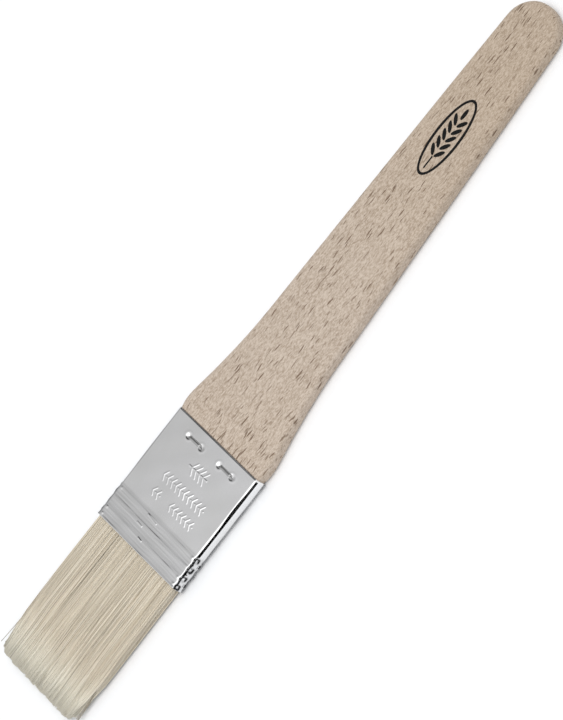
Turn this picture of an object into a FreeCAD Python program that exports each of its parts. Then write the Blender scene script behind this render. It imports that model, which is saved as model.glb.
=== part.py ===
import FreeCAD, Part
import math
import os

from FreeCAD import Vector

# A flat pastry brush, lying on its back. X runs across the brush, Y along it towards the
# round end of the handle, and Z up out of the front face. Lengths are in millimetres.
# The origin is under the middle of the whole brush, on the surface that it lies on.

# Driving dimensions
FERRULE_WIDTH = 38.0
FERRULE_DEPTH = 4.8
FERRULE_LENGTH = 40.5
FERRULE_BEND = 1.0
SHEET = 0.35
HANDLE_LENGTH = 159.7
HANDLE_DEPTH = 5.6
HANDLE_EDGE_ROUND = 1.8
HANDLE_LEAN = math.radians(1.15)
TUFT_LENGTH = 51.5
FIT_GAP = 0.05
SHOULDER_GAP = 0.3

# Places along the brush
TOTAL_LENGTH = HANDLE_LENGTH + FERRULE_LENGTH + TUFT_LENGTH
TIP_Y = TOTAL_LENGTH / 2
COLLAR_Y = TIP_Y - HANDLE_LENGTH
MOUTH_Y = COLLAR_Y - FERRULE_LENGTH
TUFT_END_Y = -TOTAL_LENGTH / 2
MID_Z = HANDLE_DEPTH / 2

# Inside of the ferrule
BORE_WIDTH = FERRULE_WIDTH - 2 * SHEET
BORE_DEPTH = FERRULE_DEPTH - 2 * SHEET

# Handle: poles of its outline, as height above the ferrule and distance from the centre line.
# Its shoulder stands just clear of the ferrule's edge.
HANDLE_POLES = [
    (SHOULDER_GAP, 18.6), (2.5, 19.3), (7.0, 18.8), (13.0, 17.5), (22.0, 16.1),
    (34.0, 14.65), (52.0, 14.05), (80.0, 12.8), (115.0, 11.4),
]
HANDLE_END_RADIUS = 9.7
HANDLE_END_RUN = 14.0
HANDLE_TAPER = math.radians(2.9)
TANG_LENGTH = 16.0

# Ferrule mouth: three rolled grooves, then a lip that flares
GROOVE_DEPTH = 0.35
GROOVE_HALF_WIDTH = 1.0
GROOVES_ABOVE_MOUTH = [10.7, 7.2, 3.6]
LIP_LENGTH = 1.4
LIP_FLARE = 0.35
LAP_WIDTH = 2.0
LAP_END_ABOVE_MOUTH = 1.6

# Staples
STAPLE_LEFT_X = -6.6
STAPLE_RIGHT_X = 8.1
STAPLE_BELOW_COLLAR = 4.6
BACK_STAPLE_SHIFT = 2.0
STAPLE_WIRE_RADIUS = 0.4
STAPLE_CROWN = 5.9
STAPLE_LEG = 3.4
STAPLE_POINT = 0.9
STAPLE_BEND = 0.7
STAPLE_PROUD = 0.35

# Inside of the tuft
RESIN_LENGTH = 4.0
RESIN_TONGUE = 4.0
FILLER_THICKNESS = 1.2
FILLER_INSET = 1.0

# Tuft: half its width and half its thickness
TUFT_HALF_WIDTH = 18.0
TUFT_HALF_DEPTH = 2.0
TUFT_TIP_HALF_DEPTH = 0.7
CHISEL_LENGTH = 14.0
TUFT_CORNER_RADIUS = 1.6

# Print on the handle: an ear of wheat in an oval ring
PRINT_ABOVE_COLLAR = 111.8
PRINT_LENGTH = 26.8
PRINT_WIDTH = 9.4
PRINT_LINE = 0.85
INK_THICKNESS = 0.05
GRAIN_PAIRS = 5
GRAIN_LENGTH = 3.8
GRAIN_WIDTH = 1.3
GRAIN_PITCH = 2.7
GRAIN_TILT = 36.0
GRAIN_FROM_STALK = 1.45
FIRST_GRAIN_Y = -5.2
STALK_WIDTH = 0.5
STALK_LENGTH = 4.3
STALK_BELOW_GRAIN = 1.7


def export(name, shape):
    """Write one sub-part to its own file."""
    shape.exportStep("parts/" + name + ".step")


def box(x_half, y_low, y_high, z_low, z_high):
    """A block centred on X = 0."""
    corner = Vector(-x_half, y_low, z_low)
    return Part.makeBox(2 * x_half, y_high - y_low, z_high - z_low, corner)


def lean_x(y):
    """Where the handle's centre line lies at height y above the ferrule."""
    return -math.tan(HANDLE_LEAN) * y


def handle_side(side):
    """One long edge of the handle's outline, from the ferrule to the round end that it meets smoothly."""
    angle = HANDLE_TAPER + side * HANDLE_LEAN
    centre_y = HANDLE_LENGTH - HANDLE_END_RADIUS
    poles = [Vector(lean_x(y) + side * half, COLLAR_Y + y, 0) for y, half in HANDLE_POLES]
    end = Vector(
        lean_x(centre_y) + side * HANDLE_END_RADIUS * math.cos(angle),
        COLLAR_Y + centre_y + HANDLE_END_RADIUS * math.sin(angle), 0,
    )
    direction = Vector(-side * math.sin(angle), math.cos(angle), 0)
    poles += [end - direction * HANDLE_END_RUN, end]
    curve = Part.BSplineCurve()
    curve.buildFromPoles(poles, False, 3)
    return curve.toShape(), poles[0], end


def handle_board():
    """The part of the handle outside the ferrule: a flat board with rounded long edges."""
    right, right_start, right_end = handle_side(1)
    left, left_start, left_end = handle_side(-1)
    centre_y = HANDLE_LENGTH - HANDLE_END_RADIUS
    tip = Vector(lean_x(centre_y), COLLAR_Y + HANDLE_LENGTH, 0)
    round_end = Part.Arc(right_end, tip, left_end).toShape()
    base = Part.LineSegment(left_start, right_start).toShape()
    outline = Part.Wire(Part.__sortEdges__([base, right, round_end, left]))
    board = Part.Face(outline).extrude(Vector(0, 0, HANDLE_DEPTH))
    rims = [edge for edge in board.Edges if is_long_rim(edge)]
    return board.makeFillet(HANDLE_EDGE_ROUND, rims)


def is_long_rim(edge):
    """True for the edges of the front and back faces, apart from those at the ferrule."""
    bounds = edge.BoundBox
    return bounds.ZLength < 0.01 and bounds.YLength > 1.0


def tang():
    """The end of the handle that fills the ferrule, with its long corners eased."""
    block = box(
        BORE_WIDTH / 2 - FIT_GAP, COLLAR_Y - TANG_LENGTH, COLLAR_Y + 1.0,
        MID_Z - BORE_DEPTH / 2 + FIT_GAP, MID_Z + BORE_DEPTH / 2 - FIT_GAP,
    )
    corners = [edge for edge in block.Edges if edge.BoundBox.YLength > 1.0]
    return block.makeFillet(FERRULE_BEND - SHEET, corners)


def handle(staples):
    """The board and its tang in one piece of wood, pierced by the staples."""
    wood = handle_board().fuse(tang()).removeSplitter()
    for staple in staples:
        wood = wood.cut(staple)
    return wood.Solids[0]


def groove_offset(above_mouth):
    """How far the sheet is rolled in, or flared out at the lip, at a height above the mouth."""
    offset = 0.0
    for groove in GROOVES_ABOVE_MOUTH:
        reach = abs(above_mouth - groove) / GROOVE_HALF_WIDTH
        if reach < 1.0:
            offset -= GROOVE_DEPTH * (1 + math.cos(math.pi * reach)) / 2
    if above_mouth < LIP_LENGTH:
        offset += LIP_FLARE * (1 - above_mouth / LIP_LENGTH) ** 2
    return offset


def sheet_section(outer_x):
    """The sheet cut along the brush: a straight run, the rolled grooves and the lip."""
    plain_from = GROOVES_ABOVE_MOUTH[0] + GROOVE_HALF_WIDTH + 0.5
    steps = 48
    heights = [plain_from * step / steps for step in range(steps, -1, -1)]
    rolled = [Vector(outer_x + groove_offset(h), MOUTH_Y + h, MID_Z) for h in heights]
    inner = [point - Vector(SHEET, 0, 0) for point in rolled]
    top_outer = Vector(outer_x, COLLAR_Y, MID_Z)
    top_inner = Vector(outer_x - SHEET, COLLAR_Y, MID_Z)
    edges = [
        Part.LineSegment(top_inner, top_outer).toShape(),
        Part.LineSegment(top_outer, rolled[0]).toShape(),
        smooth_edge(rolled),
        Part.LineSegment(rolled[-1], inner[-1]).toShape(),
        smooth_edge(inner),
        Part.LineSegment(inner[0], top_inner).toShape(),
    ]
    return Part.Wire(Part.__sortEdges__(edges))


def smooth_edge(points):
    curve = Part.BSplineCurve()
    curve.interpolate(points)
    return curve.toShape()


def rounded_rectangle(half_x, half_z, radius, y):
    """A closed rounded rectangle across the brush, which starts in the middle of its +X side."""
    flat_x = half_x - radius
    flat_z = half_z - radius
    diagonal = radius * math.sqrt(0.5)

    def at(x, z):
        return Vector(x, y, MID_Z + z)

    def corner(sign_x, sign_z, start, end):
        middle = at(sign_x * (flat_x + diagonal), sign_z * (flat_z + diagonal))
        return Part.Arc(start, middle, end).toShape()

    def line(start, end):
        return Part.LineSegment(start, end).toShape()

    return Part.Wire([
        line(at(half_x, 0), at(half_x, flat_z)),
        corner(1, 1, at(half_x, flat_z), at(flat_x, half_z)),
        line(at(flat_x, half_z), at(-flat_x, half_z)),
        corner(-1, 1, at(-flat_x, half_z), at(-half_x, flat_z)),
        line(at(-half_x, flat_z), at(-half_x, -flat_z)),
        corner(-1, -1, at(-half_x, -flat_z), at(-flat_x, -half_z)),
        line(at(-flat_x, -half_z), at(flat_x, -half_z)),
        corner(1, -1, at(flat_x, -half_z), at(half_x, -flat_z)),
        line(at(half_x, -flat_z), at(half_x, 0)),
    ])


def ferrule(staples):
    """One sheet wrapped round the tang and the bristles, lapped on the narrow -X side."""
    path = rounded_rectangle(FERRULE_WIDTH / 2, FERRULE_DEPTH / 2, FERRULE_BEND, MOUTH_Y)
    shell = Part.BRepOffsetAPI.MakePipeShell(path)
    shell.setBiNormalMode(Vector(0, 1, 0))
    shell.add(sheet_section(FERRULE_WIDTH / 2))
    shell.build()
    shell.makeSolid()
    tube = shell.shape()
    tube = tube.fuse(lap())
    for staple in staples:
        tube = tube.cut(staple)
    return tube.Solids[0]


def lap():
    """The free edge of the sheet, lying over its other edge."""
    section = sheet_section(FERRULE_WIDTH / 2)
    section.translate(Vector(SHEET - FIT_GAP, 0, -LAP_WIDTH / 2))
    strip = Part.Face(section).extrude(Vector(0, 0, LAP_WIDTH))
    strip.rotate(Vector(0, 0, MID_Z), Vector(0, 1, 0), 180)
    keep = Part.makeBox(
        4.0, FERRULE_LENGTH, FERRULE_DEPTH,
        Vector(-FERRULE_WIDTH / 2 - 2.0, MOUTH_Y + LAP_END_ABOVE_MOUTH, MID_Z - FERRULE_DEPTH / 2),
    )
    return strip.common(keep)


def staple(x, y, facing):
    """A wire staple with its crown on the front (facing 1) or back (facing -1) face."""
    crown_z = FERRULE_DEPTH / 2 + STAPLE_PROUD - STAPLE_WIRE_RADIUS
    half = STAPLE_CROWN / 2 - STAPLE_WIRE_RADIUS
    bend = STAPLE_BEND
    diagonal = bend * (1 - math.sqrt(0.5))
    leg_end = crown_z - STAPLE_LEG

    def at(across, height):
        return Vector(x + across, y, MID_Z + facing * height)

    path = Part.Wire([
        Part.LineSegment(at(-half, leg_end), at(-half, crown_z - bend)).toShape(),
        Part.Arc(
            at(-half, crown_z - bend), at(-half + diagonal, crown_z - diagonal), at(-half + bend, crown_z)
        ).toShape(),
        Part.LineSegment(at(-half + bend, crown_z), at(half - bend, crown_z)).toShape(),
        Part.Arc(
            at(half - bend, crown_z), at(half - diagonal, crown_z - diagonal), at(half, crown_z - bend)
        ).toShape(),
        Part.LineSegment(at(half, crown_z - bend), at(half, leg_end)).toShape(),
    ])
    inward = Vector(0, 0, -facing)
    ring = Part.Wire(Part.Circle(at(-half, leg_end), inward, STAPLE_WIRE_RADIUS).toShape())
    wire = path.makePipeShell([ring], True, False)
    for side in (-1, 1):
        point = Part.makeCone(STAPLE_WIRE_RADIUS, 0.08, STAPLE_POINT, at(side * half, leg_end), inward)
        wire = wire.fuse(point)
    return wire.removeSplitter().Solids[0]


def all_staples():
    """Two staples from the front and two from the back, which miss each other inside."""
    front_y = COLLAR_Y - STAPLE_BELOW_COLLAR
    back_y = front_y - BACK_STAPLE_SHIFT
    return {
        "staple_front_left": staple(STAPLE_LEFT_X, front_y, 1),
        "staple_front_right": staple(STAPLE_RIGHT_X, front_y, 1),
        "staple_back_left": staple(STAPLE_LEFT_X, back_y, -1),
        "staple_back_right": staple(STAPLE_RIGHT_X, back_y, -1),
    }


def resin_end_y():
    return COLLAR_Y - TANG_LENGTH - FIT_GAP - RESIN_LENGTH


def bore_block(y_low, y_high):
    """A block that fills the ferrule's bore between two heights."""
    half_x = BORE_WIDTH / 2 - FIT_GAP
    half_z = BORE_DEPTH / 2 - FIT_GAP
    outline = rounded_rectangle(half_x, half_z, FERRULE_BEND - SHEET, y_low)
    return Part.Face(outline).extrude(Vector(0, y_high - y_low, 0))


def setting_resin():
    """The cast block behind the butts, with a tongue between the two packs of bristle."""
    end_y = resin_end_y()
    block = bore_block(end_y, COLLAR_Y - TANG_LENGTH - FIT_GAP)
    half = FILLER_THICKNESS / 2
    tongue = box(BORE_WIDTH / 2 - 1.0, end_y - RESIN_TONGUE, end_y + 1.0, MID_Z - half, MID_Z + half)
    return block.fuse(tongue).removeSplitter().Solids[0]


def filler_strip():
    """The wooden strip that spreads the two packs of bristle in the mouth of the ferrule."""
    half = FILLER_THICKNESS / 2
    top_y = resin_end_y() - RESIN_TONGUE - FIT_GAP
    strip = box(BORE_WIDTH / 2 - 1.0, MOUTH_Y + FILLER_INSET, top_y, MID_Z - half, MID_Z + half)
    mouth_edges = [edge for edge in strip.Edges if is_filler_mouth_edge(edge)]
    return strip.makeFillet(half * 0.8, mouth_edges)


def is_filler_mouth_edge(edge):
    bounds = edge.BoundBox
    return bounds.XLength > 1.0 and bounds.YMax < MOUTH_Y + FILLER_INSET + 0.01


def bristle_side_view(facing):
    """One pack of bristle seen from the side, from its butts to its chisel tip."""
    butt_y = resin_end_y() - FIT_GAP
    groove_y = MOUTH_Y + GROOVES_ABOVE_MOUTH[0] + GROOVE_HALF_WIDTH + 0.6
    chisel_y = TUFT_END_Y + CHISEL_LENGTH
    bore_half = BORE_DEPTH / 2 - FIT_GAP
    pinched_half = BORE_DEPTH / 2 - GROOVE_DEPTH - FIT_GAP
    filler_half = FILLER_THICKNESS / 2 + FIT_GAP
    filler_end_y = MOUTH_Y + FILLER_INSET - 2.0
    parting = FIT_GAP / 2
    profile = [
        (butt_y, filler_half), (butt_y, bore_half), (groove_y + 1.0, bore_half),
        (groove_y, pinched_half), (MOUTH_Y, pinched_half), (MOUTH_Y - 4.0, TUFT_HALF_DEPTH),
        (chisel_y, TUFT_HALF_DEPTH), (TUFT_END_Y, TUFT_TIP_HALF_DEPTH),
        (TUFT_END_Y, parting), (filler_end_y - 5.0, parting), (filler_end_y, filler_half),
    ]
    reach = BORE_WIDTH / 2
    points = [Vector(-reach, y, MID_Z + facing * z) for y, z in profile]
    outline = Part.makePolygon(points + [points[0]])
    return Part.Face(outline).extrude(Vector(2 * reach, 0, 0))


def bristle_front_view():
    """The tuft's outline from the front, with the corners of its tip worn round."""
    block = box(TUFT_HALF_WIDTH, TUFT_END_Y, resin_end_y() - FIT_GAP, 0, HANDLE_DEPTH)
    corners = [edge for edge in block.Edges if is_tuft_corner(edge)]
    return block.makeFillet(TUFT_CORNER_RADIUS, corners)


def is_tuft_corner(edge):
    bounds = edge.BoundBox
    return bounds.ZLength > 1.0 and bounds.YMax < TUFT_END_Y + 0.01


def bristle_pack(facing):
    """All the bristles on one side of the filler strip, as one closed solid."""
    return bristle_side_view(facing).common(bristle_front_view()).removeSplitter().Solids[0]


def ink(face):
    """A face drawn on the handle's front, raised by the thickness of the ink."""
    return face.extrude(Vector(0, 0, INK_THICKNESS))


def ellipse_face(centre, half_width, half_length):
    """A filled ellipse on the handle's front, longer along the brush."""
    edge = Part.Ellipse(centre, half_length, half_width).toShape()
    edge.rotate(centre, Vector(0, 0, 1), 90)
    return Part.Face(Part.Wire(edge))


def grain(place, turn):
    """One grain of the ear, turned about its middle by a number of degrees."""
    face = ellipse_face(place, GRAIN_WIDTH / 2, GRAIN_LENGTH / 2)
    face.rotate(place, Vector(0, 0, 1), turn)
    return face


def handle_print():
    """An ear of wheat in an oval ring, as separate patches of ink."""
    centre = Vector(lean_x(PRINT_ABOVE_COLLAR), COLLAR_Y + PRINT_ABOVE_COLLAR, HANDLE_DEPTH)
    outer = ellipse_face(centre, PRINT_WIDTH / 2, PRINT_LENGTH / 2)
    inner = ellipse_face(centre, PRINT_WIDTH / 2 - PRINT_LINE, PRINT_LENGTH / 2 - PRINT_LINE)
    patches = [ink(outer.cut(inner))]
    for pair in range(GRAIN_PAIRS):
        for side in (-1, 1):
            place = centre + Vector(side * GRAIN_FROM_STALK, FIRST_GRAIN_Y + pair * GRAIN_PITCH, 0)
            patches.append(ink(grain(place, -side * GRAIN_TILT)))
    top_place = centre + Vector(0, FIRST_GRAIN_Y + GRAIN_PAIRS * GRAIN_PITCH, 0)
    patches.append(ink(grain(top_place, 0)))
    foot = Vector(-STALK_WIDTH / 2, FIRST_GRAIN_Y - STALK_BELOW_GRAIN - STALK_LENGTH, 0)
    patches.append(Part.makeBox(STALK_WIDTH, STALK_LENGTH, INK_THICKNESS, centre + foot))
    return Part.makeCompound([solid for patch in patches for solid in patch.Solids])


def main():
    os.makedirs("parts", exist_ok=True)
    staples = all_staples()
    for name, shape in staples.items():
        export(name, shape)
    export("handle", handle(staples.values()))
    export("ferrule", ferrule(staples.values()))
    export("setting_resin", setting_resin())
    export("filler_strip", filler_strip())
    export("bristle_front_pack", bristle_pack(1))
    export("bristle_back_pack", bristle_pack(-1))
    export("handle_print", handle_print())


main()
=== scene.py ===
import math

import bpy
import numpy as np
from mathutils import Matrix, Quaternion, Vector


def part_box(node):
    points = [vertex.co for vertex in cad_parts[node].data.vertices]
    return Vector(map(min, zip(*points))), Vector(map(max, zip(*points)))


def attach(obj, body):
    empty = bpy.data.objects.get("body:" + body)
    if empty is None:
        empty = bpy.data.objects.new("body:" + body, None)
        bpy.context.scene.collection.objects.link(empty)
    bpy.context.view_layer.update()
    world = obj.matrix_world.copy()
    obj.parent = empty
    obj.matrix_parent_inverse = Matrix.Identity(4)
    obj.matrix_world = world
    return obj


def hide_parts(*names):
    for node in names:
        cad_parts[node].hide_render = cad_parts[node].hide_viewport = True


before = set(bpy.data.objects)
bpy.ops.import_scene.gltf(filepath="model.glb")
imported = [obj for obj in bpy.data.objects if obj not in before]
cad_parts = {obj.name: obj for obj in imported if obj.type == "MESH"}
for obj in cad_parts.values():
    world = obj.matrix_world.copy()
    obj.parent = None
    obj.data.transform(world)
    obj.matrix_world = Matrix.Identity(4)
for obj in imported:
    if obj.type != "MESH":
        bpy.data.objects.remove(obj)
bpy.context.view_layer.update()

MM = 0.001

# ---------------------------------------------------------------- places taken from model.glb
FERRULE_LOW, FERRULE_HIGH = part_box("ferrule")
HANDLE_LOW, HANDLE_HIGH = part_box("handle")
PACK_LOW, PACK_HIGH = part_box("bristle_front_pack")
COLLAR_Y = FERRULE_HIGH.y
MOUTH_Y = FERRULE_LOW.y
TUFT_END_Y = PACK_LOW.y
BUTT_Y = PACK_HIGH.y
MID_Z = (HANDLE_LOW.z + HANDLE_HIGH.z) / 2

# ---------------------------------------------------------------- camera
CAMERA_AIM = Vector((-1.75, -3.4, 3.18)) * MM
CAMERA_DISTANCE = 1.3154
CAMERA_AZIMUTH = math.radians(105.02)
CAMERA_ELEVATION = math.radians(56.08)
CAMERA_ROLL = math.radians(-64.68)
CAMERA_LENS = 225.0

# ---------------------------------------------------------------- ferrule, in millimetres
SHEET = 0.35
FERRULE_HALF_WIDTH = 19.0
FERRULE_HALF_DEPTH = 2.4
FERRULE_BEND = 1.15
FACE_CROWN = 0.15
SIDE_CROWN = 0.2
GROOVES_ABOVE_MOUTH = (10.7, 7.2, 3.6)
GROOVE_HALF_WIDTH = 1.0
ROLLED_BAND_TOP = 12.4
BEAD_HEIGHT = 0.065
LIP_LENGTH = 1.4
UPPER_EDGE_DROP = 0.13
ORNAMENT_HEIGHT = 0.06
CREASE_HEIGHT = 0.08
# Dents in the narrow sides: height above the mouth, height above the middle, reach along and across, depth,
# which way round the dent its dark rim, a painted dark reflection, is strongest (degrees from downwards
# towards the collar), and how much of the rim there is all round.
SIDE_DENTS = (
    (10.5, 1.30, 0.70, 0.75, 0.60, 45, 0.2),
    (9.2, -0.7, 0.40, 0.70, 0.35, 0, 0.3),
    (7.2, 1.10, 0.80, 0.95, 0.55, -35, 0.2),
    (3.8, 1.05, 0.75, 0.90, 0.60, 55, 0.2),
    (2.1, -0.7, 0.40, 0.70, 0.35, 0, 0.3),
    (0.9, 1.35, 0.65, 0.75, 0.55, 0, 0.8),
)
STAPLE_CENTRES = (-6.6, 8.1)
STAPLE_BELOW_COLLAR = 4.6
BACK_STAPLE_SHIFT = 2.0
STAPLE_CROWN = 5.9
STAPLE_WIDE = 1.2
STAPLE_THICK = 0.65
STAPLE_DIMPLE = 0.34
FRONT_STAPLE_PROUD = 0.22
BACK_STAPLE_PROUD = 0.03

# ---------------------------------------------------------------- bristles, in millimetres
STRANDS = 3300
STRAND_STATIONS = (0.0, 0.04, 0.16, 0.3, 0.45, 0.6, 0.74, 0.87, 1.0)
THIN_STRAND_RADIUS = 0.078
THICK_STRAND_RADIUS = 0.108
STRAY_STRAND_RADIUS = 0.13
STRAY_CHANCE = 0.025
WILD_CHANCE = 0.03
CLUMPS = 46
TUFT_HALF_WIDTH = 18.05
TUFT_HALF_DEPTH = 1.95
TUFT_SHIFT = 0.25


# ---------------------------------------------------------------- small helpers

def mesh_object(name, points, faces, smooth=True):
    """A new object from points in metres and faces of point numbers."""
    mesh = bpy.data.meshes.new(name)
    mesh.from_pydata([tuple(p) for p in points], [], [tuple(f) for f in faces])
    mesh.update()
    mesh.polygons.foreach_set("use_smooth", [smooth] * len(mesh.polygons))
    piece = bpy.data.objects.new(name, mesh)
    bpy.context.collection.objects.link(piece)
    return piece


def smoothstep(x):
    x = np.clip(x, 0.0, 1.0)
    return x * x * (3 - 2 * x)


class Recipe:
    """A material's nodes: each call adds a node, sets its inputs and gives back the node or its output."""

    def __init__(self, name):
        self.material = bpy.data.materials.new(name)
        self.material.use_nodes = True
        self.tree = self.material.node_tree
        self.shader = self.tree.nodes["Principled BSDF"]

    def add(self, kind, inputs=None, **settings):
        node = self.tree.nodes.new(kind)
        for key, value in settings.items():
            setattr(node, key, value)
        for key, value in (inputs or {}).items():
            self.feed(node.inputs[key], value)
        return node

    def feed(self, socket, value):
        if isinstance(value, bpy.types.NodeSocket):
            self.tree.links.new(value, socket)
        else:
            socket.default_value = value

    def position(self, scale, shift=(0.0, 0.0, 0.0)):
        """The row's own coordinates, multiplied along each axis and shifted."""
        place = self.add("ShaderNodeTexCoord").outputs["Object"]
        inputs = {"Vector": place, "Scale": scale, "Location": shift}
        return self.add("ShaderNodeMapping", inputs).outputs["Vector"]

    def split(self, vector):
        """The X, Y and Z of a vector."""
        return self.add("ShaderNodeSeparateXYZ", {"Vector": vector}).outputs

    def noise(self, vector, detail=2.0, rough=0.5, distortion=0.0):
        inputs = {"Vector": vector, "Scale": 1.0, "Detail": detail, "Roughness": rough}
        inputs["Distortion"] = distortion
        return self.add("ShaderNodeTexNoise", inputs).outputs["Fac"]

    def math(self, operation, a, b=0.0):
        return self.add("ShaderNodeMath", {0: a, 1: b}, operation=operation).outputs[0]

    def band(self, value, low, high, out_low=0.0, out_high=1.0):
        """Maps low..high of a value smoothly to out_low..out_high."""
        inputs = {0: value, 1: low, 2: high, 3: out_low, 4: out_high}
        node = self.add("ShaderNodeMapRange", inputs, interpolation_type="SMOOTHSTEP")
        return node.outputs[0]

    def mix(self, factor, a, b, blend="MIX"):
        node = self.add("ShaderNodeMix", data_type="RGBA", blend_type=blend)
        self.feed(node.inputs[0], factor)
        self.feed(node.inputs[6], a)
        self.feed(node.inputs[7], b)
        return node.outputs[2]

    def bump(self, height, strength, distance):
        inputs = {"Height": height, "Strength": strength, "Distance": distance}
        return self.add("ShaderNodeBump", inputs).outputs["Normal"]

    def surface(self, **inputs):
        for key, value in inputs.items():
            self.feed(self.shader.inputs[key.replace("_", " ")], value)
        return self.material


def grey(value):
    return (value, value, value, 1.0)


# ---------------------------------------------------------------- materials

def fleck_layer(recipe, width, length, depth, spread, shift):
    """Short dashes of about that width and length along Y, one to each cell of a stretched cell pattern."""
    radius = 0.5 / spread
    scale = (radius / (width / 2), radius / (length / 2), radius / (depth / 2))
    place = recipe.position(scale, (shift, shift, shift))
    sway = recipe.noise(recipe.position((250.0, 260.0, 250.0), (shift, 0.0, 0.0)), detail=1.0)
    sway = recipe.math("MULTIPLY", sway, 0.0011 * scale[0])
    sway = recipe.add("ShaderNodeCombineXYZ", {"X": sway}).outputs[0]
    place = recipe.add("ShaderNodeVectorMath", {0: place, 1: sway}).outputs[0]
    cells = recipe.add("ShaderNodeTexVoronoi", {"Vector": place, "Scale": 1.0}, voronoi_dimensions="3D")
    chance = recipe.add("ShaderNodeSeparateColor", {"Color": cells.outputs["Color"]})
    reach = recipe.band(chance.outputs[1], 0.0, 1.0, radius * 0.5, radius * 1.3)
    near = recipe.math("SUBTRACT", 1.0, recipe.math("DIVIDE", cells.outputs["Distance"], reach))
    strength = recipe.band(chance.outputs[0], 0.05, 0.95, 0.15, 1.0)
    return recipe.math("MULTIPLY", recipe.band(near, 0.0, 0.4), strength)


def beech():
    """Sanded pale beech: soft growth bands, fine pores and the short dark dashes of its rays, along Y."""
    r = Recipe("beech")
    bands = r.noise(r.position((60.0, 3.0, 60.0)), detail=3.0, rough=0.55, distortion=0.4)
    pores = r.noise(r.position((2600.0, 560.0, 2600.0)), detail=2.0, rough=0.6)
    tooth = r.noise(r.position((3300.0, 1350.0, 3300.0)), detail=2.0, rough=0.6)
    blotch = r.noise(r.position((30.0, 14.0, 30.0)), detail=2.0)
    long_rays = fleck_layer(r, 0.0004, 0.0036, 0.0008, 2.1, 3.1)
    short_rays = fleck_layer(r, 0.00038, 0.0028, 0.0008, 2.0, 5.4)
    rays = r.math("MAXIMUM", long_rays, short_rays)
    small = fleck_layer(r, 0.00028, 0.0018, 0.0006, 1.3, 7.7)
    colour = r.mix(r.band(bands, 0.3, 0.7), (0.486, 0.396, 0.317, 1), (0.542, 0.45, 0.367, 1))
    colour = r.mix(r.band(blotch, 0.35, 0.75, 0.0, 0.4), colour, (0.51, 0.408, 0.315, 1))
    colour = r.mix(r.band(pores, 0.4, 0.64, 0.0, 0.5), colour, (0.30, 0.225, 0.16, 1))
    colour = r.mix(r.band(tooth, 0.38, 0.58, 0.46, 0.0), colour, (0.68, 0.585, 0.49, 1))
    colour = r.mix(r.band(tooth, 0.48, 0.64, 0.0, 0.28), colour, (0.31, 0.23, 0.165, 1))
    colour = r.mix(r.math("MULTIPLY", small, 0.5), colour, (0.22, 0.15, 0.10, 1))
    colour = r.mix(r.math("MULTIPLY", rays, 0.95), colour, (0.165, 0.105, 0.065, 1))
    along = r.split(r.add("ShaderNodeTexCoord").outputs["Object"])[1]
    older = r.band(along, COLLAR_Y + 0.05, COLLAR_Y + 0.13)
    colour = r.mix(older, colour, r.mix(1.0, colour, (0.90, 0.875, 0.83, 1), "MULTIPLY"))
    height = r.math("SUBTRACT", r.math("MULTIPLY", r.math("ADD", tooth, pores), -0.8), rays)
    rough = r.band(pores, 0.3, 0.7, 0.55, 0.68)
    return r.surface(
        Base_Color=colour, Roughness=rough, Specular_IOR_Level=0.3, Normal=r.bump(height, 0.6, 0.0002)
    )


def plated_sheet():
    """Bright-plated sheet steel: mirror-like, with faint cloudy stains, a fine tooth, and near-black painted
    dark reflections and shade on the dents' rims, the lower narrow sides and the bends near the mouth, plus a
    slightly darker tone over the rolled band.
    """
    r = Recipe("plated_sheet")
    cloud = r.noise(r.position((70.0, 70.0, 70.0)), detail=4.0, rough=0.6)
    tooth = r.noise(r.position((1300.0, 900.0, 1300.0)), detail=2.0, rough=0.6)
    painted_reflection_and_tone = r.add("ShaderNodeAttribute", attribute_name="painted_reflection_and_tone").outputs["Fac"]
    colour = r.mix(r.band(cloud, 0.3, 0.7), grey(0.805), (0.835, 0.835, 0.845, 1))
    # Near-black painted reflection and shade where the attribute is high; a slightly darker tone over the
    # rolled band.
    colour = r.mix(painted_reflection_and_tone, colour, (0.018, 0.018, 0.02, 1))
    rough = r.band(cloud, 0.3, 0.75, 0.09, 0.14)
    return r.surface(
        Base_Color=colour, Metallic=1.0, Roughness=rough, Normal=r.bump(tooth, 0.12, 0.00003)
    )


def staple_steel():
    """Drawn steel wire, duller than the sheet, with scratches along it."""
    r = Recipe("staple_steel")
    scratch = r.noise(r.position((300.0, 6000.0, 3000.0)), detail=3.0, rough=0.7)
    colour = r.mix(r.band(scratch, 0.3, 0.7), grey(0.34), grey(0.52))
    return r.surface(Base_Color=colour, Metallic=1.0, Roughness=r.band(scratch, 0.3, 0.7, 0.12, 0.22))


def bristle():
    """Cream natural bristle: each strand its own tone, a few dark, all paler and greener towards the tip."""
    r = Recipe("bristle")
    tone = r.add("ShaderNodeAttribute", attribute_name="tone").outputs["Fac"]
    along = r.add("ShaderNodeAttribute", attribute_name="along").outputs["Fac"]
    streaks = r.noise(r.position((1400.0, 30.0, 1400.0)), detail=3.0, rough=0.6)
    colour = r.mix(tone, (0.66, 0.568, 0.432, 1), (0.885, 0.818, 0.692, 1))
    colour = r.mix(r.band(streaks, 0.4, 0.7, 0.0, 0.2), colour, (0.63, 0.545, 0.41, 1))
    colour = r.mix(r.band(along, 0.72, 0.95, 0.0, 0.5), colour, (0.825, 0.812, 0.705, 1))
    colour = r.mix(r.band(tone, 0.0, 0.04, 0.6, 0.0), colour, (0.23, 0.18, 0.13, 1))
    return r.surface(Base_Color=colour, Roughness=0.42, Specular_IOR_Level=0.35)


def ink():
    """Matte black pad-printed ink with a slightly uneven film."""
    r = Recipe("ink")
    film = r.noise(r.position((2500.0, 2500.0, 2500.0)), detail=3.0, rough=0.6)
    colour = r.mix(r.band(film, 0.3, 0.75), grey(0.004), grey(0.013))
    return r.surface(
        Base_Color=colour, Roughness=0.6, Specular_IOR_Level=0.12, Normal=r.bump(film, 0.2, 0.00003)
    )


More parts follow.
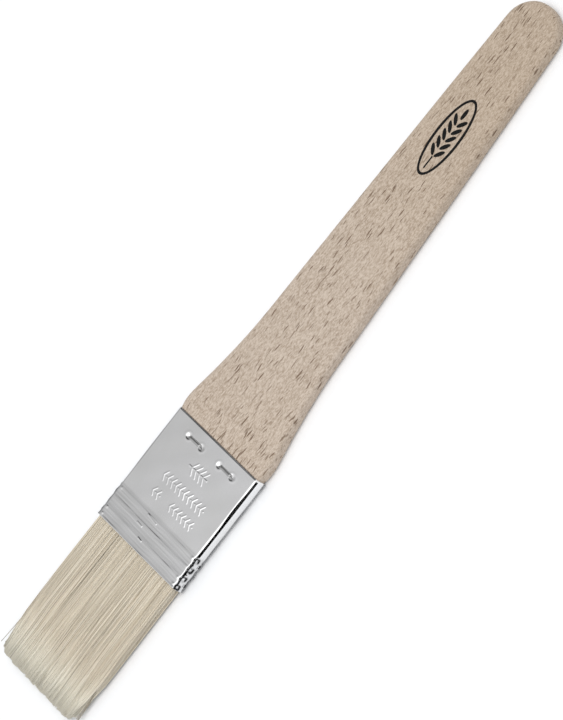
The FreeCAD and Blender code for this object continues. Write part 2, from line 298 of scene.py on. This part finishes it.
def amber_resin():
    r = Recipe("amber_resin")
    swirl = r.noise(r.position((300.0, 300.0, 300.0)), detail=3.0, distortion=1.0)
    colour = r.mix(r.band(swirl, 0.3, 0.7), (0.30, 0.17, 0.07, 1), (0.45, 0.28, 0.12, 1))
    return r.surface(Base_Color=colour, Roughness=0.35, Normal=r.bump(swirl, 0.2, 0.0002))


def rough_softwood():
    r = Recipe("rough_softwood")
    grain = r.noise(r.position((30.0, 900.0, 900.0)), detail=4.0, rough=0.65)
    colour = r.mix(r.band(grain, 0.3, 0.7), (0.50, 0.36, 0.22, 1), (0.66, 0.51, 0.34, 1))
    return r.surface(Base_Color=colour, Roughness=0.75, Normal=r.bump(grain, 0.4, 0.0002))


# ---------------------------------------------------------------- ferrule

def ferrule_columns():
    """Stations round the outside of the sheet: point x, z and outward normal x, z, in millimetres.

    They lie closest on the front, where it is struck and stapled, and on the bends and narrow sides.
    """
    flat_x = FERRULE_HALF_WIDTH - FERRULE_BEND
    flat_z = FERRULE_HALF_DEPTH - FERRULE_BEND
    fine = np.arange(-9.4, 12.2, 0.16)
    coarse_left = np.arange(-flat_x, -9.4, 0.33)
    coarse_right = np.arange(12.2, flat_x, 0.33)
    front_x = np.concatenate([coarse_left, fine, coarse_right])
    back_x = np.arange(-flat_x, flat_x, 0.5)
    side_z = np.arange(-flat_z, flat_z, 0.14)
    turn = np.linspace(0, math.pi / 2, 11)[:-1]
    columns = []

    def corner(sign_x, sign_z, start):
        for t in turn + start:
            nx, nz = math.cos(t), math.sin(t)
            columns.append((sign_x * flat_x + FERRULE_BEND * nx, sign_z * flat_z + FERRULE_BEND * nz, nx, nz))

    columns += [(FERRULE_HALF_WIDTH, z, 1.0, 0.0) for z in side_z]
    corner(1, 1, 0.0)
    columns += [(x, FERRULE_HALF_DEPTH, 0.0, 1.0) for x in front_x[::-1]]
    corner(-1, 1, math.pi / 2)
    columns += [(-FERRULE_HALF_WIDTH, z, -1.0, 0.0) for z in side_z[::-1]]
    corner(-1, -1, math.pi)
    columns += [(x, -FERRULE_HALF_DEPTH, 0.0, -1.0) for x in back_x]
    corner(1, -1, 1.5 * math.pi)
    return np.array(columns)


def ferrule_rows():
    """Heights above the mouth, in millimetres, finest where the sheet is worked."""
    length = (COLLAR_Y - MOUTH_Y) / MM
    worked = np.arange(0, 13.0, 0.2)
    struck = np.arange(13.0, length - 8.5, 0.16)
    plain = np.arange(length - 8.5, length - 7.0, 0.3)
    stapled = np.arange(length - 7.0, length - 2.0, 0.2)
    edge = np.arange(length - 2.0, length - 0.05, 0.12)
    return np.concatenate([worked, struck, plain, stapled, edge, [length]])


def stroke_height(x, y, strokes, half_width):
    """1 in the middle of each stroke, falling smoothly to 0 at its edges."""
    height = np.zeros_like(x)
    for x0, y0, x1, y1 in strokes:
        dx, dy = x1 - x0, y1 - y0
        along = np.clip(((x - x0) * dx + (y - y0) * dy) / (dx * dx + dy * dy), 0, 1)
        away = np.hypot(x - x0 - along * dx, y - y0 - along * dy)
        height = np.maximum(height, smoothstep(1 - away / half_width))
    return height


def struck_pattern():
    """Decorative strokes embossed in the front: a sprig over two rows of chevrons with pips between them."""
    strokes = []
    chevron_pitch = 1.95
    sprig_y = -10.7
    rows = ((-16.4, -19.6, -8.3, 11.1), (-22.3, -25.1, -8.1, -4.2), (-22.3, -25.1, 0.1, 11.3))
    for top, bottom, left, right in rows:
        count = round((right - left) / chevron_pitch)
        step = (right - left) / count
        middle = (top + bottom) / 2
        for i in range(count):
            x = left + i * step
            strokes.append((x + 0.9, top, x, middle))
            strokes.append((x, middle, x + 0.9, bottom))
            strokes.append((x + 1.25, middle, x + 1.4, middle))
    for i in range(4):
        x = -2.0 + 1.7 * i
        strokes.append((x, sprig_y, x + 1.3, -8.6))
        strokes.append((x, sprig_y, x + 1.3, -12.8))
    strokes.append((-3.2, sprig_y, 5.0, sprig_y))
    return strokes


def bead_height(above_mouth, wander):
    """How far up its own height each of the three low beads on the broad faces is, from 0 to 1."""
    height = np.zeros_like(wander)
    lower_flank = 1.6
    for bead in GROOVES_ABOVE_MOUTH:
        offset = above_mouth - bead - wander
        upper_flank = 1.7 if bead == max(GROOVES_ABOVE_MOUTH) else 1.05
        reach = np.where(offset > 0, offset / upper_flank, offset / lower_flank)
        height = height + (1 + np.cos(np.pi * np.clip(reach, -1, 1))) / 2
    return height


def side_dents(z, above_mouth):
    """How deep the dents in the narrow sides are, in millimetres, and how dark the reflection painted on
    their rims is.
    """
    depth, painted_rim_reflection = 0.0, 0.0
    rim_width = 0.38
    for centre, height, reach_y, reach_z, deep, towards, all_round in SIDE_DENTS:
        along = (above_mouth - centre) / reach_y
        down = (height - z) / reach_z
        depth = depth + deep * np.exp(-along ** 2 - down ** 2)
        # The rim's painted dark reflection, strongest on one side of the dent.
        rim = np.exp(-((np.hypot(along, down) - 1.0) / rim_width) ** 2)
        turn = np.arctan2(along, down) - math.radians(towards)
        painted_rim_reflection = painted_rim_reflection + rim * (all_round + (1 - all_round) * smoothstep(0.5 + 0.9 * np.cos(turn)))
    return depth, painted_rim_reflection


def side_relief(z, nx, above_mouth):
    """The crumpled narrow side: slightly bulged, with dents and lumps where the beads were rolled in."""
    on_side = smoothstep(nx * 1.3) + 0.4 * smoothstep(-nx * 1.3)
    off_bend = smoothstep((np.abs(nx) - 0.45) / 0.5) * on_side
    relief = SIDE_CROWN * (1 - (z / FERRULE_HALF_DEPTH) ** 2) * on_side
    relief = relief - side_dents(z, above_mouth)[0] * off_bend
    for number, groove in enumerate(GROOVES_ABOVE_MOUTH):
        lump = (1 + np.cos(np.pi * np.clip((above_mouth - groove + 1.75) / 1.1, -1, 1))) / 2
        relief = relief + 0.22 * off_bend * lump * (0.6 + 0.4 * np.sin(4.3 * z + 2.6 * number))
        dip = (1 + np.cos(np.pi * np.clip((above_mouth - groove) / GROOVE_HALF_WIDTH, -1, 1))) / 2
        relief = relief - 0.14 * on_side * dip
    return relief


def sheet_painted_reflection_and_tone(z, nx, above_mouth):
    """0 for bright plating, up to 1 where dark reflections and shade are painted on: the dents' rims, the
    lower strip of the narrow sides and the bends near the mouth; a slightly darker tone over the rolled band.
    """
    on_right = smoothstep((nx - 0.1) * 2.5)
    on_side = on_right + 0.5 * smoothstep(-(nx + 0.1) * 2.5)
    # Painted dark reflections on the dents' rims.
    painted_rim_reflection = 1.4 * side_dents(z, above_mouth)[1] * on_side * smoothstep((nx + 1) * 2)
    # Painted reflection of the shade under the ferrule, along the lower strip of the narrow sides.
    low = smoothstep((-0.7 - z) / 0.25) * on_side * (0.66 + 0.12 * np.sin(0.5 * above_mouth))
    bend = np.abs(nx)
    # Painted dark reflection along the bends, up to 12 mm above the mouth.
    painted_bend_reflection = smoothstep((bend - 0.42) / 0.1) * smoothstep((0.88 - bend) / 0.1)
    painted_bend_reflection = painted_bend_reflection * smoothstep(12.0 - above_mouth)
    rolled = 0.13 * smoothstep((ROLLED_BAND_TOP - above_mouth) / 1.2)
    return np.clip(painted_rim_reflection + low + painted_bend_reflection + rolled, 0, 1)


def sheet_relief(x, z, nx, nz, above_mouth):
    """How far the worked sheet stands off its plain shape, outwards, in millimetres.

    In order: crown and faint waviness of the faces, rolled beads and lines, lip, upper edge, staple dimples,
    ornament and a few short creases.
    """
    below_collar = (COLLAR_Y - MOUTH_Y) / MM - above_mouth
    on_front = (nz > 0.9).astype(float)
    on_back = (nz < -0.9).astype(float)
    on_face = on_front + on_back
    off_side = smoothstep(1.4 * np.abs(nz))
    near_bend = smoothstep((np.abs(x) - 17.0) / 1.2) * np.where(x > 0, 1.0, 0.35)
    relief = side_relief(z, nx, above_mouth)
    relief = relief + FACE_CROWN * (1 - (x / FERRULE_HALF_WIDTH) ** 2) * on_face
    relief += 0.030 * np.sin(0.23 * x + 0.31 * above_mouth + 1.0) * on_face
    relief += 0.016 * np.sin(0.55 * x - 0.2 * above_mouth) * np.sin(0.33 * above_mouth + 0.7) * on_face

    wander = 0.10 * np.sin(0.35 * x + 1.7) + 0.05 * np.sin(0.9 * x)
    zone = smoothstep((ROLLED_BAND_TOP - above_mouth) / 1.2)
    relief += (BEAD_HEIGHT - 0.035 * near_bend) * bead_height(above_mouth, wander) * off_side
    coarse_lines = np.sin(2 * np.pi * (above_mouth + wander) / 1.05)
    fine_lines = 0.6 * np.sin(2 * np.pi * above_mouth / 0.62 + 0.2 * x)
    patches = 1 + 0.5 * np.sin(0.4 * x + 0.8 * above_mouth)
    relief += 0.010 * (coarse_lines + fine_lines) * patches * zone * on_face
    for groove in (10.4, 3.3, 0.9):
        away = np.hypot((np.abs(x) - 17.4) / 0.4, (above_mouth - groove) / 0.5)
        relief += 0.10 * off_side * np.exp(-away ** 2)
    lip = np.clip(1 - above_mouth / LIP_LENGTH, 0, 1) ** 2
    relief += lip * (0.08 + 0.12 * near_bend + 0.28 * (1 - off_side) * (x > 0))
    relief -= UPPER_EDGE_DROP * smoothstep(1 - below_collar / 0.55)

    for shift, face in ((0.0, on_front), (BACK_STAPLE_SHIFT, on_back)):
        for centre in STAPLE_CENTRES:
            for leg in (-1, 1):
                leg_x = centre + leg * (STAPLE_CROWN / 2 + 0.05)
                away = np.hypot((x - leg_x) / 1.1, below_collar - STAPLE_BELOW_COLLAR - shift)
                relief -= face * STAPLE_DIMPLE * np.exp(-(away / 0.62) ** 2)
                relief += face * 0.03 * np.exp(-((away - 1.3) / 0.35) ** 2)

    relief += on_front * ORNAMENT_HEIGHT * stroke_height(x, -below_collar, struck_pattern(), 0.38)
    creases = [(-4.0, -30.0, 0.3, -30.5), (-5.4, -33.8, -3.2, -34.0), (-1.8, -37.1, -0.2, -37.3)]
    relief += on_front * CREASE_HEIGHT * stroke_height(x, -below_collar, creases, 0.36)
    return relief


def lap_relief(z, nx, above_mouth):
    """The sheet's free edge, lying nearly one thickness proud over its other edge on the -X side."""
    over = smoothstep((1.0 - np.abs(z)) / 0.12) * (nx < -0.9)
    return over * (SHEET - 0.08) * smoothstep((above_mouth - LIP_LENGTH) / 0.3)


def ferrule():
    """The wrapped sheet as a closed skin: worked outside, lip, plain inside and upper edge."""
    columns = ferrule_columns()
    rows = ferrule_rows()
    x, z, nx, nz = [column[None, :] for column in columns.T]
    height = rows[:, None]
    relief = sheet_relief(x, z, nx, nz, height) + lap_relief(z, nx, height)
    outer = np.stack([x + nx * relief, np.broadcast_to(height, relief.shape), z + nz * relief], axis=-1)
    inner_rows = rows[::-1][:: max(1, len(rows) // 24)]
    inner_rows = np.append(inner_rows, 0.0) if inner_rows[-1] > 0 else inner_rows
    inner_height = inner_rows[:, None]
    wanted = sheet_relief(x, z, nx, nz, inner_height)
    keep = np.minimum(wanted, 0.0) + np.maximum(wanted, 0.0) * (inner_height < LIP_LENGTH)
    inset = keep - SHEET
    inner = np.stack([x + nx * inset, np.broadcast_to(inner_height, inset.shape), z + nz * inset], axis=-1)
    rings = np.concatenate([outer, inner])
    points = rings.reshape(-1, 3) * MM + np.array([0.0, MOUTH_Y, MID_Z])
    count = len(columns)
    ring_count = len(rings)
    faces = []
    for ring in range(ring_count):
        here = ring * count
        above = (ring + 1) % ring_count * count
        for column in range(count):
            after = (column + 1) % count
            faces.append((above + column, above + after, here + after, here + column))
    piece = mesh_object("ferrule_sheet", points, faces)
    # Painted dark reflections and shade on the outside, with a slightly darker rolled band; nothing on the
    # inside.
    outside = sheet_painted_reflection_and_tone(z, nx, height)
    painted_reflection_and_tone = piece.data.attributes.new("painted_reflection_and_tone", "FLOAT", "POINT")
    painted_reflection_and_tone.data.foreach_set("value", np.concatenate([outside.ravel(), np.zeros(inset.size)]))
    piece.data.materials.append(plated_sheet())
    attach(piece, "root")
    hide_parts("ferrule")


# ---------------------------------------------------------------- staples

def staple_path(proud):
    """The middle of the wire from one point to the other, across and up, in millimetres."""
    half = STAPLE_CROWN / 2 - 0.35
    crown = FERRULE_HALF_DEPTH + proud
    bend = 0.75
    leg = [(half, crown - 3.2), (half, crown - 2.6), (half, crown - 1.8), (half, crown - 1.1)]
    turns = np.linspace(0.15, math.pi / 2, 6)
    knee = [(half - bend * (1 - math.cos(t)), crown - bend + bend * math.sin(t)) for t in turns]
    right = leg + knee
    sag = 0.05
    middle = []
    for u in np.linspace(0.75, -0.75, 7):
        middle.append((u * (half - bend), crown - sag * math.cos(u * math.pi / 2)))
    return np.array(right + middle + [(-across, up) for across, up in reversed(right)])


def staple(name, x, below_collar, facing, turn):
    """Flattened wire, swept along its path, with chisel points; the back ones are driven deeper."""
    path = staple_path(FRONT_STAPLE_PROUD if facing > 0 else BACK_STAPLE_PROUD)
    tangents = np.gradient(path, axis=0)
    tangents /= np.linalg.norm(tangents, axis=1)[:, None]
    sides = 16
    angles = np.linspace(0, 2 * math.pi, sides, endpoint=False)
    points = []
    last = len(path) - 1
    for i, ((across, up), (tx, tz)) in enumerate(zip(path, tangents)):
        thin = 0.25 if i in (0, last) else 1.0
        for a in angles:
            out = STAPLE_THICK / 2 * math.cos(a) * thin
            wide = STAPLE_WIDE / 2 * math.sin(a)
            px, pz = across - tz * out, up + tx * out
            turned_x = px * math.cos(turn) - wide * math.sin(turn)
            turned_y = px * math.sin(turn) + wide * math.cos(turn)
            points.append((turned_x, turned_y, pz))
    faces = [tuple(range(sides)), tuple(last * sides + k for k in range(sides))[::-1]]
    for i in range(last):
        for k in range(sides):
            after = (k + 1) % sides
            faces.append((i * sides + after, i * sides + k, (i + 1) * sides + k, (i + 1) * sides + after))
    centre_y = COLLAR_Y / MM - below_collar
    placed = [((x + px) * MM, (centre_y + py) * MM, MID_Z + facing * pz * MM) for px, py, pz in points]
    if facing > 0:
        faces = [face[::-1] for face in faces]
    piece = mesh_object(name + "_wire", placed, faces)
    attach(piece, "root")
    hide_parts(name)
    return piece


def staples():
    steel = staple_steel()
    back = STAPLE_BELOW_COLLAR + BACK_STAPLE_SHIFT
    left, right = STAPLE_CENTRES
    plan = (
        ("staple_front_left", left, STAPLE_BELOW_COLLAR, 1, 0.02),
        ("staple_front_right", right, STAPLE_BELOW_COLLAR, 1, -0.01),
        ("staple_back_left", left, back, -1, -0.02),
        ("staple_back_right", right, back, -1, 0.01),
    )
    for name, x, below, facing, turn in plan:
        staple(name, x, below, facing, turn).data.materials.append(steel)


# ---------------------------------------------------------------- bristles

def strand_paths(rng, facing):
    """Where each strand of one pack runs, in millimetres: points along it, its radius and its tone.

    X runs across the brush, Y up from the ferrule's mouth and Z out from the middle of its depth.
    """
    free = (MOUTH_Y - TUFT_END_Y) / MM

    # Roots: evenly spread across the mouth, and more of them near the broad face than near the filler strip.
    root_x = TUFT_HALF_WIDTH * (2 * (np.arange(STRANDS) + rng.random(STRANDS)) / STRANDS - 1)
    rng.shuffle(root_x)
    layer = np.sqrt(rng.random(STRANDS)) * 0.55 + rng.random(STRANDS) * 0.45
    layer = np.where(np.abs(root_x) > 16.5, rng.random(STRANDS), layer)
    off_strip = 0.06
    root_z = facing * (off_strip + (TUFT_HALF_DEPTH - off_strip) * layer)

    # Tips: each strand leans towards its clump, a few run wild, and a few part from the tuft's edges.
    inner_clumps = rng.uniform(-TUFT_HALF_WIDTH, TUFT_HALF_WIDTH, CLUMPS)
    clumps = np.append(inner_clumps, [-TUFT_HALF_WIDTH, TUFT_HALF_WIDTH])
    belongs = np.abs(root_x[:, None] - clumps[None, :]).argmin(axis=1)
    nearest = clumps[belongs]
    clump_short = rng.uniform(0.0, 0.55, len(clumps))[belongs]
    pull = rng.uniform(0.0, 0.22, STRANDS)
    tip_x = root_x + (nearest - root_x) * pull + rng.normal(0, 0.22, STRANDS)
    tip_x += root_x * 0.02
    wild = rng.random(STRANDS) < WILD_CHANCE
    tip_x = np.where(wild, tip_x + rng.normal(0, 1.2, STRANDS), tip_x)
    tip_x = np.clip(tip_x, -TUFT_HALF_WIDTH - 0.5, TUFT_HALF_WIDTH + 0.4)
    side = np.sign(root_x)
    stray = (np.abs(root_x) > 17.3) & (rng.random(STRANDS) < STRAY_CHANCE)
    gather = np.where(root_x > 0, 1.6, 1.35) * np.clip((np.abs(root_x) - 14.0) / 4.0, 0, 1)
    gather = np.where(stray, -rng.uniform(0.2, 0.8, STRANDS), gather)
    tip_z = facing * (0.04 + layer + rng.normal(0, 0.06, STRANDS))

    # Lengths: rounded corners, clumps and single strands that are shorter, and a gently uneven end.
    corner = np.clip((np.abs(tip_x) - 15.5) / 2.5, 0, 1) ** 2
    short = 0.25 * layer ** 1.5 + np.where(tip_x > 0, 1.8, 1.3) * corner
    ragged = np.minimum(rng.exponential(0.2, STRANDS), 1.2) + clump_short
    swell = 0.25 * np.sin(root_x * 0.9 + facing) + 0.15 * np.sin(root_x * 2.3)
    length = free - short - ragged - 0.05 - np.abs(swell) * 0.5

    # Paths: the packs close towards a chisel tip, and each strand sways a little on its way.
    stations = np.array(STRAND_STATIONS)
    phase = rng.uniform(0, 2 * math.pi, (2, STRANDS))
    sway = rng.normal(0, 0.16, (2, STRANDS))
    butt_height = (BUTT_Y - MOUTH_Y) / MM
    paths = np.zeros((STRANDS, len(stations), 3))
    for i, s in enumerate(stations):
        bend = smoothstep((s - 0.55) / 0.45) if s > 0.55 else 0.0
        spread = 1.0 + 0.03 * math.sin(math.pi * min(1.0, s * 1.6))
        wave = s * (1 - 0.3 * s)
        closing = smoothstep((s - 0.78) / 0.22) if s > 0.78 else 0.0
        paths[:, i, 0] = root_x + (tip_x - root_x) * s ** 1.4 + sway[0] * np.sin(3.2 * s + phase[0]) * wave
        paths[:, i, 0] -= side * gather * closing
        plain_z = root_z * spread
        paths[:, i, 2] = plain_z + (tip_z - plain_z) * bend + sway[1] * 0.4 * np.sin(4 * s + phase[1]) * wave
        paths[:, i, 1] = -s * length
    inside_mouth = 3.0
    squeeze = 0.84
    paths[:, 0, 1] = inside_mouth
    butt = paths[:, :1, :].copy()
    butt[:, 0, 1] = butt_height
    paths = np.concatenate([butt, paths], axis=1)
    paths[:, 0:2, 2] *= squeeze
    paths[:, :, 0] += TUFT_SHIFT
    radii = rng.uniform(THIN_STRAND_RADIUS, THICK_STRAND_RADIUS, STRANDS)
    radii = np.where(stray, STRAY_STRAND_RADIUS, radii)
    tones = np.clip(rng.normal(0.5, 0.22, STRANDS), 0, 1) * ~stray
    return paths, radii, tones


def strand_mesh(name, paths, radii, tones):
    """Three-sided tapering strands, closed at both ends."""
    count, stations, _ = paths.shape
    thin = np.interp(np.linspace(0, 1, stations), [0, 0.8, 0.9, 1], [1, 1, 1, 0.85])
    angles = np.linspace(0, 2 * math.pi, 3, endpoint=False)
    twist = (np.arange(count) * 2.399) % (2 * math.pi)
    rings = np.zeros((count, stations, 3, 3))
    for k, a in enumerate(angles):
        rings[:, :, k, 0] = paths[:, :, 0] + radii[:, None] * thin * np.cos(a + twist)[:, None]
        rings[:, :, k, 1] = paths[:, :, 1]
        rings[:, :, k, 2] = paths[:, :, 2] + radii[:, None] * thin * np.sin(a + twist)[:, None]
    points = rings.reshape(-1, 3) * MM + np.array([0.0, MOUTH_Y, MID_Z])
    base = np.arange(count)[:, None, None] * stations * 3
    ring = np.arange(stations - 1)[None, :, None] * 3
    k = np.arange(3)[None, None, :]
    after = (k + 1) % 3
    lower = base + ring
    upper = lower + 3
    quads = np.stack([lower + k, lower + after, upper + after, upper + k], axis=-1)
    faces = quads.reshape(-1, 4).tolist()
    first = np.arange(count) * stations * 3
    last = first + (stations - 1) * 3
    faces += np.stack([first + 2, first + 1, first], axis=-1).tolist()
    faces += np.stack([last, last + 1, last + 2], axis=-1).tolist()
    piece = mesh_object(name, points, faces)
    tone = piece.data.attributes.new("tone", "FLOAT", "POINT")
    tone.data.foreach_set("value", np.repeat(tones, stations * 3))
    along = piece.data.attributes.new("along", "FLOAT", "POINT")
    along.data.foreach_set("value", np.tile(np.repeat(np.linspace(0, 1, stations), 3), count))
    return piece


def bristles():
    """Both packs, each a mass of separate strands from their butts to the ragged chisel tip."""
    cream = bristle()
    for number, (facing, side) in enumerate(((1, "front"), (-1, "back"))):
        rng = np.random.default_rng(41 + number)
        paths, radii, tones = strand_paths(rng, facing)
        piece = strand_mesh(f"bristle_{side}_strands", paths, radii, tones)
        piece.data.materials.append(cream)
        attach(piece, "root")
        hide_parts(f"bristle_{side}_pack")


# ---------------------------------------------------------------- pieces whose shape model.glb gives

def dress(node, material):
    """Gives a CAD node its own material."""
    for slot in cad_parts[node].material_slots:
        slot.link = "OBJECT"
        slot.material = material


# ---------------------------------------------------------------- stage

def floor():
    half = 1.5
    points = [(-half, -half, 0), (half, -half, 0), (half, half, 0), (-half, half, 0)]
    piece = mesh_object("floor", points, [(0, 1, 2, 3)], smooth=False)
    r = Recipe("paper")
    tooth = r.noise(r.position((400.0, 400.0, 400.0)), detail=2.0)
    piece.data.materials.append(
        r.surface(Base_Color=r.mix(tooth, grey(0.90), grey(0.92)), Roughness=0.9, Specular_IOR_Level=0.1)
    )


def dome_shape(radius, turns, rings):
    """Points and faces of half a sphere that stands on the floor, closed at its top."""
    points = []
    for ring in range(rings):
        up = math.radians(90 * ring / rings)
        out = radius * math.cos(up)
        for k in range(turns):
            a = 2 * math.pi * k / turns
            points.append((out * math.cos(a), out * math.sin(a), radius * math.sin(up)))
    points.append((0, 0, radius))
    faces = []
    for ring in range(rings - 1):
        here = ring * turns
        above = here + turns
        for k in range(turns):
            after = (k + 1) % turns
            faces.append((here + k, here + after, above + after, above + k))
    top = (rings - 1) * turns
    faces += [(top + k, top + (k + 1) % turns, rings * turns) for k in range(turns)]
    return points, faces


def room_glow(radius):
    """Pale walls, brighter towards +X and -Y, with a soft box overhead and two dark flags.

    Each is a band of places on the dome, measured in radii from its middle.
    """
    r = Recipe("reflected_room")
    place = r.position((1 / radius, 1 / radius, 1 / radius))
    x, y, _ = r.split(place)
    slope = r.math("ADD", r.math("MULTIPLY", x, 0.8), r.math("MULTIPLY", y, -0.55))
    walls = r.math("MINIMUM", r.math("MAXIMUM", r.math("ADD", slope, 0.96), 0.42), 0.95)
    walls = r.math("MAXIMUM", walls, r.band(y, 0.46, 0.57, 0.0, 0.62))
    off_middle = r.math("ABSOLUTE", r.math("ADD", y, 0.15))
    box = r.math("MULTIPLY", r.band(x, -0.44, -0.24), r.band(x, 0.19, 0.23, 1.0, 0.0))
    box = r.math("MULTIPLY", box, r.band(off_middle, 0.3, 0.55, 1.0, 0.0))
    tone = r.math("ADD", walls, r.math("MULTIPLY", box, 0.75))
    # The side flag gives the dark line on the ferrule's bend, the end flag the dark sides of proud details.
    side_flag = r.math("MULTIPLY", r.band(y, -0.36, -0.26), r.band(y, -0.09, -0.02, 1.0, 0.0))
    side_flag = r.math("MULTIPLY", side_flag, r.band(x, 0.2, 0.24))
    end_flag = r.math("MULTIPLY", r.band(y, -0.06, 0.11), r.band(y, 0.26, 0.4, 1.0, 0.0))
    end_flag = r.math("MULTIPLY", end_flag, r.band(x, -0.3, -0.1, 0.85, 0.0))
    end_flag = r.math("MULTIPLY", end_flag, r.band(x, -0.85, -0.7))
    tone = r.math("MULTIPLY", tone, r.math("SUBTRACT", 1.0, side_flag))
    tone = r.math("MULTIPLY", tone, r.math("SUBTRACT", 1.0, end_flag))
    glow = r.add("ShaderNodeEmission", {"Color": (1, 1, 1, 1), "Strength": tone})
    r.tree.links.new(glow.outputs[0], r.tree.nodes["Material Output"].inputs["Surface"])
    r.material.cycles.emission_sampling = "NONE"
    return r.material


def reflected_room():
    """What only the glossy surfaces mirror."""
    radius = 3.0
    dome = mesh_object("reflected_room", *dome_shape(radius, turns=48, rings=14))
    for ray in ("camera", "diffuse", "transmission", "volume_scatter", "shadow"):
        setattr(dome, "visible_" + ray, False)
    dome.data.materials.append(room_glow(radius))


def lights():
    """A soft box nearly overhead, in a pale room."""
    data = bpy.data.lights.new("soft_box", "AREA")
    data.shape = "RECTANGLE"
    data.size, data.size_y = 0.9, 0.9
    data.energy = 9.0
    light = bpy.data.objects.new("soft_box", data)
    light.location = (0.15, 0.1, 1.3)
    light.rotation_mode = "QUATERNION"
    light.rotation_quaternion = (-light.location).to_track_quat("-Z", "Y")
    light.visible_glossy = False
    bpy.context.collection.objects.link(light)
    world = bpy.data.worlds.new("room")
    bpy.context.scene.world = world
    world.use_nodes = True
    background = world.node_tree.nodes["Background"]
    background.inputs["Color"].default_value = (0.95, 0.97, 1.0, 1)
    background.inputs["Strength"].default_value = 0.75


def camera():
    data = bpy.data.cameras.new("camera")
    data.lens = CAMERA_LENS
    data.sensor_width = 36.0
    data.clip_start, data.clip_end = 0.05, 20.0
    eye = bpy.data.objects.new("camera", data)
    bpy.context.collection.objects.link(eye)
    back = Vector((
        math.sin(CAMERA_AZIMUTH) * math.cos(CAMERA_ELEVATION),
        -math.cos(CAMERA_AZIMUTH) * math.cos(CAMERA_ELEVATION),
        math.sin(CAMERA_ELEVATION),
    ))
    eye.location = CAMERA_AIM + back * CAMERA_DISTANCE
    eye.rotation_mode = "QUATERNION"
    eye.rotation_quaternion = (-back).to_track_quat("-Z", "Y") @ Quaternion((0, 0, 1), CAMERA_ROLL)
    bpy.context.scene.camera = eye


bpy.context.scene.view_settings.view_transform = "Standard"
camera()
floor()
lights()
reflected_room()
ferrule()
staples()
bristles()
dress("handle", beech())
dress("handle_print", ink())
dress("setting_resin", amber_resin())
dress("filler_strip", rough_softwood())
